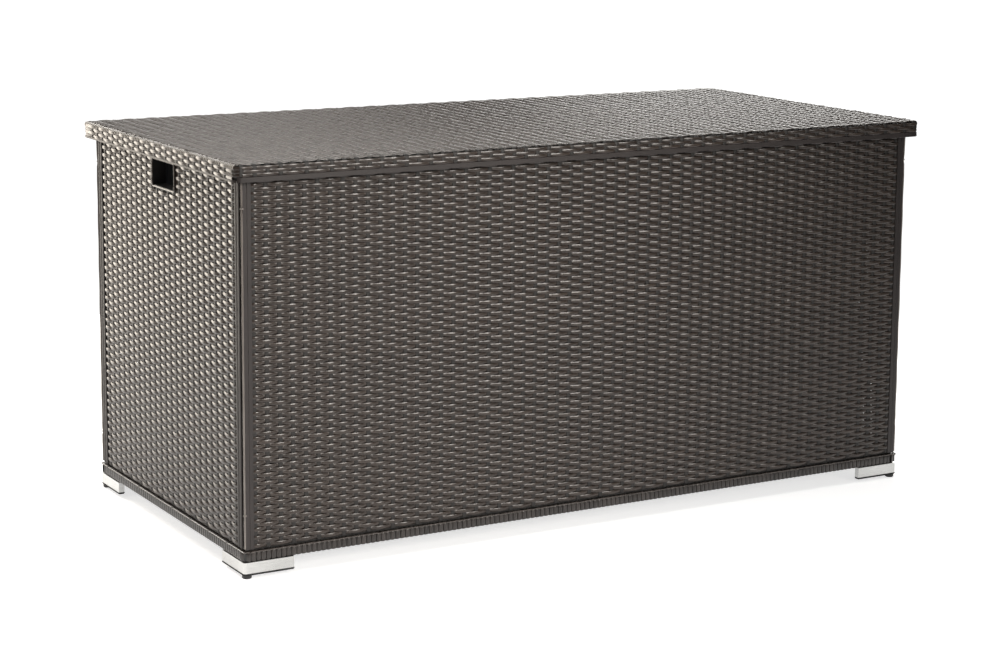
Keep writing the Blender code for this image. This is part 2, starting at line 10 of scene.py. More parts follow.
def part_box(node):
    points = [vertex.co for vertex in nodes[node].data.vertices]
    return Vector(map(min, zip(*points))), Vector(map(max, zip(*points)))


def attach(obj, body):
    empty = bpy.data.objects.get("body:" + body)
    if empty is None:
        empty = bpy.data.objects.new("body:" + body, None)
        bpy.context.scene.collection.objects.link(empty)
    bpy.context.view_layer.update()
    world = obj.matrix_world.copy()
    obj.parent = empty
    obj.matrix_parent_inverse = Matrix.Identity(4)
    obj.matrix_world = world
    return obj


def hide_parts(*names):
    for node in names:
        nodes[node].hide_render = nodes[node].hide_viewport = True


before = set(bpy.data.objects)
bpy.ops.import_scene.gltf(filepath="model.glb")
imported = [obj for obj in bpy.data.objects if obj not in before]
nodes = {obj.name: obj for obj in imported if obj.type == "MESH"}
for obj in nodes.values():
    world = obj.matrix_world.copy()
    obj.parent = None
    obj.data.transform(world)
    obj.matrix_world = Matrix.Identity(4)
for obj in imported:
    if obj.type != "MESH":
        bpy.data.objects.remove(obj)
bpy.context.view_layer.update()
scene = bpy.context.scene
rng = np.random.default_rng(7)

# Strand sizes
STRAND_W = 0.0076  # width of a weaver
STRAND_T = 0.0021
STAKE_W = 0.0090  # flat strip that the weavers pass over and under
STAKE_T = 0.0014
SWING = 0.0016  # how far a weaver swings out of the weave's middle plane
LID_SWING = 0.0015
EDGE_SWING = 0.0013  # and a strand round the lid's edge
WOBBLE = 0.00006  # unevenness of a weaver from step to step
DEPTH_WOBBLE = 0.00004  # and of its depth, on the body
SKIN = 0.005  # thickness of a woven skin
ROW = 0.00765  # spacing of the weavers
STEPS = 4  # mesh steps from one stake to the next
LONG_STAKE = 0.0255  # stake spacing on the long panels
END_STAKE = 0.0277  # and on the ends
LID_STAKE = 0.0252
LONG_STAKES = 58  # stakes on a long panel
END_STAKES = 24  # on an end
LID_STAKES = 61  # along the lid
LID_END_STAKES = 25  # and on each of its ends

# Body panels
LOW_GAP = 0.0012  # the first row starts this far above the skin's lower edge
TUCK = 0.0040  # how much of a weaver's end dives under the strip
SUNK = 0.0014  # and how far below the weave's middle plane
UNDER_STRIP = 0.0020  # how far a weaver of the long panels runs on under the strip
STAKE_TRIM = 0.0005  # stakes stop this short of the skin's edges
HOLE_GAP_Y = 0.0004  # weavers and stakes stop this short of the hand hole's rim
HOLE_GAP_Z = 0.0003
RIM_INSET = 0.0008  # the strand round the hand hole, within the CAD rim
RIM_BEND = 0.005
RIM_W = 0.0042
RIM_T = 0.0030
BORDER = 0.0165  # two plain flat strips beside a corner cord, front and back
END_BORDER = 0.0215  # and on the ends
POST_EDGE = 0.0008  # from an end skin's middle plane to the strips on the long panels
POST_GAP = 0.0075  # from a long skin's middle plane, past a dark gap, to the ends' strips
STRIP_T = 0.0016
STRIP_LIFT = 0.0012  # how far the strips stand out from the skin's middle plane
STRIP_SHARE = 0.985  # a strip's share of its width, which leaves a line between two
STRIP_TRIM = 0.0003
STRIP_STEPS = 50
STRIP_WOBBLE = 0.00005

# Corner cords
CORD_R = 0.0020
CORD_INSET = 0.0021  # from the skins' outer faces to the cord's middle
CORD_STEPS = 90
CORD_WAVE = 0.0003  # height of its long waves
CORD_WAVES = 71  # radians of them in a metre
CORD_TIES = (0.064, 0.060)  # ties, above the skin's lower and below its upper edge
TIE_DIP = 0.0016  # how far a tie pulls the cord in
TIE_REACH = 0.005  # and over how much of its length
TIE_R = 0.0030  # the tie's own bend
TIE_W = 0.0040
TIE_T = 0.0012
TIE_BACK = 0.0018

# Base rail
RAIL_WALL = 0.024  # width of the rail in plan
RAIL_BEND = 0.003
WRAP = 0.0102  # spacing of the turns round the rail
WRAP_SHARE = 0.93  # a turn's share of that spacing
CORNER_TURNS = (0.20, 0.64)  # turns that fan out at a corner, as shares of the wall
CROSS_BARS = (-0.370, 0.0, 0.370)
BAR_W = 0.024
LACE_R = 0.0012  # cord laced along the rail's top edge
LACE_DOWN = 0.0010  # from the rail's top to the cord's middle
LACE_STEP = 0.0030
LACE_RIPPLE = 0.0145  # length of its ripple
LACE_KNOT = 0.087  # distance from tie to tie
LACE_WAVE = 0.0003  # height of the ripple
LACE_DIP = 0.0012  # how far a tie pulls the cord down
LACE_IN = 0.0010  # and in
KNOT_START = 0.93  # part of the wave from tie to tie above which the cord dips

# Lid
LID_RAISE = 0.0020  # the crests of the lid's weave stand this far above the CAD cap
LID_CORNER_R = 0.0135
LID_EDGE_R = 0.0055
BORDER_HIGH = 0.0095  # height of the plain border, front and back
BORDER_END_HIGH = 0.0040  # and on the ends
BORDER_T = 0.0028
BORDER_INSET = 0.0014  # its middle lies this far in from its outer face
BORDER_BACK = 0.0012  # and that face this far in from the CAD cap's
BORDER_STEPS = 60
STAKE_FREE = 0.0006  # the lid's stakes end this far above the border
EDGE_W = 0.0066  # strands round the lid's edge
EDGE_T = 0.0018
EDGE_FIRST = 0.0034  # from the border to the first of them
EDGE_ROW = 0.0063  # and from one to the next
EDGE_ROWS = 3
CALM_BAND = 0.018  # weavers this near the lid's long edges swing less
CALM = 0.4
LIVELY = 0.15  # how much the swing differs from weaver to weaver
SLIP = 0.0020  # how far a weaver's swing shifts along it
END_DROP = np.array((0.0010, 0.0025, 0.0045, 0.0070))  # a weaver's last points down the end
END_DIVE = np.array((0.0002, 0.0010, 0.0016, 0.0018))  # and how far in they lie

# Section of a strand, as shares of its width and thickness: flat back, crowned face
CROWNED = np.array([(-0.50, -0.50), (-0.44, 0.12), (-0.26, 0.40), (-0.08, 0.50), (0.08, 0.50),
                    (0.26, 0.40), (0.44, 0.12), (0.50, -0.50)])
FLAT = np.array([(-0.50, -0.50), (-0.50, 0.30), (-0.46, 0.50), (0.46, 0.50), (0.50, 0.30),
                 (0.50, -0.50)])
ROUND = np.array([(math.sin(a) / 2, math.cos(a) / 2) for a in np.arange(6) * math.tau / 6 - 2.6])


# ---- materials ----

class Shader:
    """A material and short ways to add nodes to it."""

    def __init__(self, name, colour, roughness, metallic=0.0):
        self.material = bpy.data.materials.new(name)
        self.material.use_nodes = True
        self.tree = self.material.node_tree
        self.out = self.tree.nodes["Principled BSDF"]
        self.out.inputs["Base Color"].default_value = (*colour, 1)
        self.out.inputs["Roughness"].default_value = roughness
        self.out.inputs["Metallic"].default_value = metallic

    def node(self, kind, **settings):
        made = self.tree.nodes.new("ShaderNode" + kind)
        for key, value in settings.items():
            setattr(made, key, value)
        return made

    def link(self, source, target):
        self.tree.links.new(source, target)

    def math(self, operation, a, b):
        made = self.node("Math", operation=operation)
        for socket, value in zip(made.inputs, (a, b)):
            if isinstance(value, (int, float)):
                socket.default_value = value
            else:
                self.link(value, socket)
        return made.outputs[0]

    def weigh(self, *terms):
        """Sum of values, each times its weight."""
        total, *others = (self.math("MULTIPLY", value, weight) for value, weight in terms)
        for other in others:
            total = self.math("ADD", total, other)
        return total

    def point(self, scale=(1, 1, 1)):
        """Place on the object, in metres times scale."""
        place = self.node("TexCoord").outputs["Object"]
        mapping = self.node("Mapping")
        mapping.inputs["Scale"].default_value = scale
        self.link(place, mapping.inputs["Vector"])
        return mapping.outputs[0]

    def noise(self, vector, scale, detail=3.0, roughness=0.55):
        made = self.node("TexNoise")
        made.inputs["Scale"].default_value = scale
        made.inputs["Detail"].default_value = detail
        made.inputs["Roughness"].default_value = roughness
        self.link(vector, made.inputs["Vector"])
        return made.outputs["Fac"]

    def ramp(self, value, stops):
        made = self.node("ValToRGB")
        ramp = made.color_ramp
        while len(ramp.elements) < len(stops):
            ramp.elements.new(0.5)
        for element, (place, colour) in zip(ramp.elements, stops):
            element.position = place
            element.color = (*colour, 1)
        self.link(value, made.inputs["Fac"])
        return made.outputs["Color"]

    def spread(self, value, low, high):
        """value, from about 0.3 to 0.7 as noise has it, spread over low to high."""
        made = self.node("MapRange")
        made.inputs["From Min"].default_value = 0.3
        made.inputs["From Max"].default_value = 0.7
        made.inputs["To Min"].default_value = low
        made.inputs["To Max"].default_value = high
        self.link(value, made.inputs["Value"])
        return made.outputs["Result"]

    def colour(self, source):
        self.link(source, self.out.inputs["Base Color"])

    def rough(self, source):
        self.link(source, self.out.inputs["Roughness"])

    def bump(self, height, distance, strength=0.6):
        made = self.node("Bump")
        made.inputs["Distance"].default_value = distance
        made.inputs["Strength"].default_value = strength
        self.link(height, made.inputs["Height"])
        self.link(made.outputs["Normal"], self.out.inputs["Normal"])


def blend_colour(low, high, share):
    return tuple(a + (b - a) * share for a, b in zip(low, high))


def resin(name, dark, light, rough=(0.24, 0.36)):
    """Extruded resin strand: tone from strand to strand, lengthwise grain, satin face.
    The strand attribute holds place along it, place across it and its own number."""
    made = Shader(name, light, 0.4)
    strand = made.node("Attribute", attribute_name="strand")
    parts = made.node("SeparateXYZ")
    made.link(strand.outputs["Vector"], parts.inputs[0])
    along, across, number = parts.outputs

    def coordinate(length_scale, width_scale, number_scale):
        joined = made.node("CombineXYZ")
        made.link(made.math("MULTIPLY", along, length_scale), joined.inputs[0])
        made.link(made.math("MULTIPLY", across, width_scale), joined.inputs[1])
        made.link(made.math("MULTIPLY", number, number_scale), joined.inputs[2])
        return joined.outputs[0]

    mottle = made.noise(coordinate(22, 1.2, 310), 1.0, 3)
    grain = made.noise(coordinate(55, 14, 170), 1.0, 4)
    tone = made.noise(coordinate(0.4, 0, 900), 1.0, 1)
    mixed = made.weigh((mottle, 0.45), (tone, 0.40), (grain, 0.15))
    made.colour(made.ramp(mixed, [(0.30, dark), (0.50, blend_colour(dark, light, 0.55)),
                                  (0.68, light)]))
    made.rough(made.spread(grain, *rough))
    made.bump(grain, 0.00012, 0.4)
    return made.material


def powder_coat(name, colour):
    made = Shader(name, colour, 0.45)
    fine = made.noise(made.point(), 900, 2)
    broad = made.noise(made.point(), 9, 3)
    made.colour(made.ramp(broad, [(0.3, blend_colour(colour, (0, 0, 0), 0.25)), (0.7, colour)]))
    made.rough(made.spread(fine, 0.36, 0.58))
    made.bump(fine, 0.0003, 0.35)
    return made.material


def brushed(name, colour, stretch, low=0.2, high=0.38):
    """Metal with fine lines along one axis; stretch is small on that axis."""
    made = Shader(name, colour, 0.3, 1.0)
    lines = made.noise(made.point(stretch), 1.0, 4, 0.7)
    smear = made.noise(made.point(), 14, 3)
    mixed = made.weigh((lines, 0.6), (smear, 0.4))
    made.colour(made.ramp(mixed, [(0.30, blend_colour(colour, (0, 0, 0), 0.16)),
                                  (0.55, colour),
                                  (0.75, blend_colour(colour, (1, 1, 1), 0.35))]))
    made.rough(made.spread(mixed, low, high))
    made.bump(lines, 0.0002, 0.25)
    return made.material


def moulded(name, colour, grain_scale, rough=(0.38, 0.6)):
    """Moulded plastic or rubber with a fine spark-eroded grain."""
    made = Shader(name, colour, 0.5)
    grain = made.noise(made.point(), grain_scale, 2)
    patches = made.noise(made.point(), 60, 2)
    made.colour(made.ramp(patches, [(0.3, blend_colour(colour, (0, 0, 0), 0.3)),
                                    (0.7, blend_colour(colour, (0.3, 0.3, 0.3), 0.06))]))
    made.rough(made.spread(grain, *rough))
    made.bump(grain, 0.0002, 0.4)
    return made.material


BAND_SCALE = 0.314  # Wave texture scale that gives bands a metre apart


def woven_fabric(name, dark, light, thread):
    """Coated polyester: two crossing sets of threads, thread apart, with broad shading."""
    made = Shader(name, light, 0.7)
    waves = []
    for direction in ("X", "Z"):
        wave = made.node("TexWave", wave_type="BANDS", bands_direction=direction)
        wave.inputs["Scale"].default_value = BAND_SCALE / thread
        wave.inputs["Distortion"].default_value = 0.6
        wave.inputs["Detail"].default_value = 1.0
        made.link(made.point(), wave.inputs["Vector"])
        waves.append(wave.outputs["Fac"])
    weave = made.math("MULTIPLY", waves[0], waves[1])
    broad = made.noise(made.point(), 6, 4)
    mixed = made.weigh((weave, 0.35), (broad, 0.65))
    made.colour(made.ramp(mixed, [(0.15, dark), (0.6, light)]))
    made.rough(made.spread(broad, 0.55, 0.75))
    made.bump(weave, 0.0004, 0.5)
    made.out.inputs["Sheen Weight"].default_value = 0.15
    return made.material


WICKER = resin("wicker_strand", (0.016, 0.0105, 0.0080), (0.046, 0.033, 0.026))
# Stakes far darker and duller than the weavers: painted shade for the recessed patches where they
# show between the weavers.
SHADED_STAKE = resin("wicker_stake_painted_shade", (0.005, 0.0038, 0.0032), (0.012, 0.0092, 0.0078), (0.50, 0.62))
STRIP = resin("wicker_strip", (0.010, 0.0070, 0.0062), (0.025, 0.0178, 0.0165), (0.42, 0.55))
# End strips darker and duller than the strips on the long panels: painted shade along the return
# at each corner.
SHADED_END_STRIP = resin("wicker_end_strip_painted_shade", (0.006, 0.0042, 0.0038), (0.016, 0.0112, 0.0102),
                  (0.62, 0.75))
RAIL = resin("wicker_rail_wrap", (0.005, 0.0040, 0.0035), (0.050, 0.0410, 0.0365), (0.22, 0.40))
# Lace much lighter than the weave: a painted highlight along the rail's top edge.
HIGHLIT_LACE = resin("wicker_lace_painted_highlight", (0.040, 0.033, 0.029), (0.115, 0.099, 0.089), (0.28, 0.40))
# Corner cords much lighter than the weave: a painted highlight along their bends.
HIGHLIT_EDGING = resin("wicker_edging_painted_highlight", (0.100, 0.086, 0.077), (0.230, 0.205, 0.188), (0.22, 0.32))
# Near-black coat: the frame's own dark finish, darkened further as painted shade where it shows in
# the gaps of the weave, above the rail and in the hand holes.
COAT_AND_GAP_SHADE = powder_coat("dark_powder_coat_and_gap_shade", (0.012, 0.0105, 0.0095))
FOOT_X = brushed("brushed_aluminium", (0.58, 0.58, 0.57), (30, 900, 900))
ZINC = brushed("zinc_plate", (0.50, 0.51, 0.52), (200, 200, 600), 0.25, 0.45)
CHROME = brushed("polished_rod", (0.72, 0.73, 0.75), (900, 60, 60), 0.06, 0.14)
GLIDE = moulded("glide_plastic", (0.006, 0.006, 0.0065), 1500)
PAD = moulded("foot_pad_plastic", (0.004, 0.004, 0.0042), 1200, (0.75, 0.9))
STRUT = moulded("strut_paint", (0.012, 0.012, 0.013), 500, (0.22, 0.36))
RUBBER = moulded("bumper_rubber", (0.020, 0.020, 0.020), 900, (0.6, 0.8))
BOARD = moulded("floor_board", (0.035, 0.034, 0.034), 260, (0.5, 0.7))
FABRIC = woven_fabric("liner_cloth", (0.012, 0.013, 0.018), (0.040, 0.043, 0.056), 0.0011)
WEBBING = woven_fabric("liner_webbing", (0.008, 0.008, 0.010), (0.022, 0.022, 0.027), 0.0018)


# ---- meshes ----

def mesh_piece(name, verts, quads, material, body, smooth=True, attribute=None):
    """A mesh object from arrays, riding on body."""
    mesh = bpy.data.meshes.new(name)
    mesh.vertices.add(len(verts))
    mesh.vertices.foreach_set("co", np.ascontiguousarray(verts, np.float32).ravel())
    mesh.loops.add(quads.size)
    mesh.loops.foreach_set("vertex_index", quads.astype(np.int32).ravel())
    mesh.polygons.add(len(quads))
    mesh.polygons.foreach_set("loop_start", np.arange(0, quads.size, 4, dtype=np.int32))
    mesh.polygons.foreach_set("use_smooth", np.full(len(quads), smooth))
    if attribute is not None:
        layer = mesh.attributes.new("strand", "FLOAT_VECTOR", "POINT")
        layer.data.foreach_set("vector", np.ascontiguousarray(attribute, np.float32).ravel())
    mesh.update(calc_edges=True)
    mesh.validate()
    mesh.set_sharp_from_angle(angle=math.radians(40))
    mesh.materials.append(material)
    piece = bpy.data.objects.new(name, mesh)
    scene.collection.objects.link(piece)
    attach(piece, body)
    return piece


def unit(v):
    return v / np.maximum(np.linalg.norm(v, axis=-1, keepdims=True), 1e-12)


def sweep(paths, outs, width, thick, section=CROWNED, closed=False):
    """Strands of one section along paths (strand, step, xyz), their faces towards outs.
    Gives vertices, quads and the strand attribute."""
    paths = np.asarray(paths, float)
    outs = np.broadcast_to(outs, paths.shape)
    strands, steps, _ = paths.shape
    sides = len(section)
    if closed:
        tangent = unit(np.roll(paths, -1, 1) - np.roll(paths, 1, 1))
    else:
        tangent = unit(np.gradient(paths, axis=1))
    across = unit(np.cross(outs, tangent))
    facing = np.cross(tangent, across)
    verts = (paths[:, :, None] + across[:, :, None] * (section[:, 0] * width)[:, None]
             + facing[:, :, None] * (section[:, 1] * thick)[:, None])
    index = np.arange(strands * steps * sides).reshape(strands, steps, sides)
    after = np.roll(index, -1, 1) if closed else index[:, 1:]
    before = index if closed else index[:, :-1]
    quads = [np.stack([before, after, np.roll(after, -1, 2), np.roll(before, -1, 2)],
                      -1).reshape(-1, 4)]
    if not closed:
        for i in range(sides // 2 - 1):
            cap = (i, i + 1, sides - 2 - i, sides - 1 - i)
            quads.append(index[:, 0][:, cap])
            quads.append(index[:, -1][:, cap[::-1]])
    length = np.zeros((strands, steps))
    length[:, 1:] = np.cumsum(np.linalg.norm(np.diff(paths, axis=1), axis=2), 1)
    attribute = np.empty((strands, steps, sides, 3))
    attribute[..., 0] = length[:, :, None]
    attribute[..., 1] = section[:, 0]
    attribute[..., 2] = rng.random(strands)[:, None, None]
    return verts.reshape(-1, 3), np.concatenate(quads), attribute.reshape(-1, 3)


def merge(*sweeps):
    """Several sweeps as one set of vertices, quads and attributes."""
    verts, quads, attributes, base = [], [], [], 0
    for v, q, a in sweeps:
        verts.append(v)
        quads.append(q + base)
        attributes.append(a)
        base += len(v)
    return np.concatenate(verts), np.concatenate(quads), np.concatenate(attributes)


def strand_piece(name, swept, material, body):
    verts, quads, attribute = swept
    return mesh_piece(name, verts, quads, material, body, attribute=attribute)


def arc(centre, radius, start, end, steps):
    """Points of an arc and the outward directions there, in a plane."""
    angles = np.radians(np.linspace(start, end, steps + 1))
    out = np.stack([np.cos(angles), np.sin(angles)], 1)
    return np.asarray(centre) + radius * out, out


def weave_swing(place, stakes, pitch):
    """From -1 to 1: how a weaver swings over and under the stakes at a place along it.  It
    lies level past half a pitch beyond the first and the last stake."""
    first, last = stakes[0], stakes[-1]
    swing = np.sin(math.pi / 2 * np.cos(math.pi * (place - first) / pitch))
    flat = (place < first - pitch / 2) | (place > last + pitch / 2)
    return np.where(flat, 0.0, swing)


def spaced(count, pitch):
    """count places, pitch apart, about zero."""
    return (np.arange(count) - (count - 1) / 2) * pitch


def weaver_steps(low, high, stakes, pitch):
    """Places along a weaver, dense enough for its swing."""
    inner = np.arange(stakes[0] - pitch / 2, stakes[-1] + pitch / 2 + 1e-6, pitch / STEPS)
    return np.concatenate([[low], inner[(inner > low) & (inner < high)], [high]])


def jitter(shape, amount):
    return rng.normal(0, amount, shape)


def alternate(count):
    """1, -1, 1 and so on: a weaver goes over where the one before goes under."""
    return np.where(np.arange(count) % 2, -1.0, 1.0)


def straight_stakes(axis, stakes, other, low, high):
    """Upright stakes at places along one plan axis, all at one place on the other."""
    paths = np.empty((len(stakes), 2, 3))
    paths[..., axis] = stakes[:, None]
    paths[..., 1 - axis] = other
    paths[..., 2] = (low, high)
    return paths


def mirrored(half, middle=np.empty((0, 2))):
    """A plan path: the mirror image of its half, the middle if it has one, and the half."""
    return np.concatenate([(half * (-1.0, 1.0))[::-1], middle, half])


# ---- body panels ----

def panel_rows(low, high):
    count = round((high - low) / ROW)
    pitch = (high - low) / count
    return low + (np.arange(count) + 0.5) * pitch


def long_panel(end, sy):
    """Front or back skin: weavers that tuck under the strips at both corners, and stakes."""
    lo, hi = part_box(end + "_weave")
    half_x = hi.x - SKIN / 2
    face_y = (hi.y if sy > 0 else -lo.y) - SKIN / 2
    stakes = spaced(LONG_STAKES, LONG_STAKE)
    limit = half_x - POST_EDGE - BORDER + UNDER_STRIP
    places = weaver_steps(-limit, limit, stakes, LONG_STAKE)
    rows = panel_rows(lo.z + LOW_GAP, hi.z)
    shape = (len(rows), len(places))
    swing = weave_swing(places, stakes, LONG_STAKE) * SWING
    offset = swing * alternate(len(rows))[:, None] + jitter(shape, DEPTH_WOBBLE)
    offset[:, np.abs(places) > limit - TUCK] = -SUNK
    paths = np.empty((*shape, 3))
    paths[..., 0] = places
    paths[..., 1] = sy * (face_y + offset)
    paths[..., 2] = rows[:, None] + jitter(shape, WOBBLE)
    half = len(rows) // 2
    lower = strand_piece(end + "_weavers_lower",
                         sweep(paths[:half], (0, sy, 0), STRAND_W, STRAND_T), WICKER, "box")
    strand_piece(end + "_weavers_upper",
                 sweep(paths[half:], (0, sy, 0), STRAND_W, STRAND_T), WICKER, "box")
    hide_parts(end + "_weave")
    upright = straight_stakes(0, stakes, sy * face_y, lo.z + STAKE_TRIM, hi.z - STAKE_TRIM)
    strand_piece(end + "_stakes", sweep(upright, (0, sy, 0), STAKE_W, STAKE_T), SHADED_STAKE, "box")
    post_strips(end, sy, half_x, face_y, lo.z, hi.z)


def post_strips(end, sy, half_x, face_y, low, high):
    """Flat upright strips beside the weave, two on each side of a corner."""
    z = np.linspace(low + STRIP_TRIM, high - STRIP_TRIM, STRIP_STEPS)

    def strip(x, y, out, width):
        path = np.stack([np.full(len(z), x), np.full(len(z), y), z], 1)
        path = path + np.asarray(out) * (STRIP_LIFT + jitter((len(z), 1), STRIP_WOBBLE))
        return sweep(path[None], out, width * STRIP_SHARE, STRIP_T, FLAT)

    width, end_width = BORDER / 2, END_BORDER / 2
    edge, end_edge = half_x - POST_EDGE, face_y - POST_GAP
    long_side, end_side = [], []
    for sx in (-1, 1):
        for share in (0.5, 1.5):
            place = sx * (edge - share * width)
            long_side.append(strip(place, sy * face_y, (0, sy, 0), width))
        for share in (0.5, 1.5):
            place = sy * (end_edge - share * end_width)
            end_side.append(strip(sx * half_x, place, (sx, 0, 0), end_width))
    strand_piece(end + "_post_strips", merge(*long_side), STRIP, "box")
    strand_piece(end + "_end_strips", merge(*end_side), SHADED_END_STRIP, "box")


def end_panel(side, sx):
    """Left or right skin, with its hand hole."""
    lo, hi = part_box(side + "_weave")
    hole_lo, hole_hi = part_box(side + "_hand_hole_trim")
    face_x = sx * (max(abs(lo.x), abs(hi.x)) - SKIN / 2)
    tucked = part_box("back_weave")[1].y - SKIN / 2 - POST_GAP - END_BORDER
    stakes = spaced(END_STAKES, END_STAKE)
    rows = panel_rows(lo.z + LOW_GAP, hi.z)
    swept = []
    for z, phase in zip(rows, alternate(len(rows))):
        spans = [(lo.y, hi.y)]
        if hole_lo.z - STRAND_W / 2 < z < hole_hi.z + STRAND_W / 2:
            spans = [(lo.y, hole_lo.y - HOLE_GAP_Y), (hole_hi.y + HOLE_GAP_Y, hi.y)]
        for low, high in spans:
            places = weaver_steps(low, high, stakes, END_STAKE)
            offset = weave_swing(places, stakes, END_STAKE) * phase * SWING
            offset[np.abs(places) > tucked] = -SUNK
            path = np.empty((1, len(places), 3))
            path[0, :, 0] = face_x + sx * (offset + jitter(len(places), DEPTH_WOBBLE))
            path[0, :, 1] = places
            path[0, :, 2] = z + jitter(len(places), WOBBLE)
            swept.append(sweep(path, (sx, 0, 0), STRAND_W, STRAND_T))
    weavers = strand_piece(side + "_weavers", merge(*swept), WICKER, "box")
    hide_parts(side + "_weave")
    uprights = []
    foot, head = lo.z + STAKE_TRIM, hi.z - STAKE_TRIM
    for y in stakes:
        spans = [(foot, head)]
        if hole_lo.y - STAKE_W / 2 < y < hole_hi.y + STAKE_W / 2:
            spans = [(foot, hole_lo.z - HOLE_GAP_Z), (hole_hi.z + HOLE_GAP_Z, head)]
        for low, high in spans:
            path = straight_stakes(1, np.array([y]), face_x, low, high)
            uprights.append(sweep(path, (sx, 0, 0), STAKE_W, STAKE_T))
    strand_piece(side + "_stakes", merge(*uprights), SHADED_STAKE, "box")


def round_rectangle(half_a, half_b, radius, steps):
    """Closed plan path round a rectangle, counter-clockwise, and its outward directions."""
    points, outs = [], []
    for i, (sa, sb) in enumerate(((1, -1), (1, 1), (-1, 1), (-1, -1))):
        centre = (sa * (half_a - radius), sb * (half_b - radius))
        p, o = arc(centre, radius, -90 + 90 * i, 90 * i, steps)
        points.append(p)
        outs.append(o)
    return np.concatenate(points), np.concatenate(outs)


def hole_trim(side, sx):
    """Strand that frames the hand hole; the CAD sleeve behind it stays."""
    lo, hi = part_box(side + "_hand_hole_trim")
    face_x = sx * max(abs(lo.x), abs(hi.x))
    middle_z = (lo.z + hi.z) / 2
    points, _ = round_rectangle((hi.y - lo.y) / 2 - RIM_INSET, (hi.z - lo.z) / 2 - RIM_INSET,
                                RIM_BEND, 5)
    path = np.empty((1, len(points), 3))
    path[0, :, 0] = face_x
    path[0, :, 1] = points[:, 0]
    path[0, :, 2] = points[:, 1] + middle_z
    swept = sweep(path[:, ::sx], (sx, 0, 0), RIM_W, RIM_T, CROWNED, True)
    strand_piece(side + "_hole_rim_strand", swept, WICKER, "box")


def corner_cord(name, sx, sy):
    """Upright cord in the bend of a corner, tied down twice."""
    lo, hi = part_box("front_weave" if sy < 0 else "back_weave")
    x = sx * (hi.x - CORD_INSET)
    y = sy * ((-lo.y if sy < 0 else hi.y) - CORD_INSET)
    ties = (lo.z + CORD_TIES[0], hi.z - CORD_TIES[1])
    z = np.linspace(lo.z + 0.002, hi.z - 0.001, CORD_STEPS)
    dip = sum(np.exp(-((z - t) / TIE_REACH) ** 2) for t in ties)
    out = unit(np.array((sx, sy, 0.0)))
    path = np.stack([np.full(len(z), x), np.full(len(z), y), z], 1)[None]
    wave = CORD_WAVE * np.sin(z * CORD_WAVES) - TIE_DIP * dip
    path = path + out * wave[None, :, None]
    swept = [sweep(path, out, 2 * CORD_R, 2 * CORD_R, ROUND)]
    bend, _ = arc((0, 0), TIE_R, -100, 100, 8)
    turn = math.atan2(sy, sx)
    along = bend[:, 0] * math.cos(turn) - bend[:, 1] * math.sin(turn)
    aside = bend[:, 0] * math.sin(turn) + bend[:, 1] * math.cos(turn)
    facing = unit(np.stack([along, aside, np.zeros(len(bend))], 1))
    for t in ties:
        loop = np.stack([x + along - out[0] * TIE_BACK, y + aside - out[1] * TIE_BACK,
                         np.full(len(bend), t)], 1)
        swept.append(sweep(loop[None], facing[None], TIE_W, TIE_T))
    strand_piece("corner_cord_" + name, merge(*swept), HIGHLIT_EDGING, "box")


# ---- base rail ----

def section_loop(inner, outer, low, high, radius):
    """Closed loop round a rail's section, in the upright plane through two plan points."""
    inner, outer = np.asarray(inner, float), np.asarray(outer, float)
    away = outer - inner
    length = np.linalg.norm(away)
    away = away / length
    points, outs = round_rectangle(length / 2, (high - low) / 2, radius, 2)
    place = np.empty((len(points), 3))
    place[:, :2] = (inner + outer) / 2 + points[:, :1] * away
    place[:, 2] = (low + high) / 2 + points[:, 1]
    facing = np.empty((len(points), 3))
    facing[:, :2] = outs[:, :1] * away
    facing[:, 2] = outs[:, 1]
    return place, facing


def base_rail():
    """Rail wrapped in strand, with a cord laced along its top edge, and the cross bars."""
    lo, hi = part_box("base_frame")
    sink = STRAND_T / 2
    low, high = lo.z + sink, hi.z - sink
    outer_x, outer_y = hi.x - sink, hi.y - sink
    inner_x, inner_y = hi.x - RAIL_WALL, hi.y - RAIL_WALL
    loops = []
    for along, across, half in ((0, 1, inner_x), (1, 0, inner_y)):
        count = round(2 * half / WRAP)
        spots = spaced(count, 2 * half / count)
        near = (inner_y, inner_x)[along]
        far = (outer_y, outer_x)[along]
        for sign in (-1, 1):
            for spot in spots:
                a, b = [0, 0], [0, 0]
                a[along] = b[along] = spot
                a[across], b[across] = sign * near, sign * far
                loops.append((a, b))
    for sx in (-1, 1):
        for sy in (-1, 1):
            a = (sx * (inner_x + 0.001), sy * (inner_y + 0.001))
            for share in CORNER_TURNS:
                loops.append((a, (sx * outer_x, sy * (inner_y + RAIL_WALL * share))))
                loops.append((a, (sx * (inner_x + RAIL_WALL * share), sy * outer_y)))
    wraps = [section_loop(a, b, low, high, RAIL_BEND) for a, b in loops]
    paths = np.stack([w[0] for w in wraps])
    outs = np.stack([w[1] for w in wraps])
    swept = sweep(paths, outs, WRAP * WRAP_SHARE, STRAND_T, CROWNED, True)
    rail = strand_piece("base_rail_wrap", swept, RAIL, "box")
    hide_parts("base_frame")
    rail_core(outer_x - sink, outer_y - sink, RAIL_WALL - 4 * sink, lo.z + 2 * sink,
              hi.z - 2 * sink, lo.z, hi.z)
    lace(hi.x, hi.y, hi.z - LACE_DOWN)


def block(lo, hi):
    """Corners, outward quads and empty attribute of an upright block, for merge."""
    x, y, z = zip(lo, hi)
    corners = np.array([(a, b, c) for c in z for b in y for a in x])
    quads = np.array([(0, 2, 3, 1), (4, 5, 7, 6), (0, 1, 5, 4), (2, 6, 7, 3), (0, 4, 6, 2),
                      (1, 3, 7, 5)])
    return corners, quads, np.zeros((8, 3))


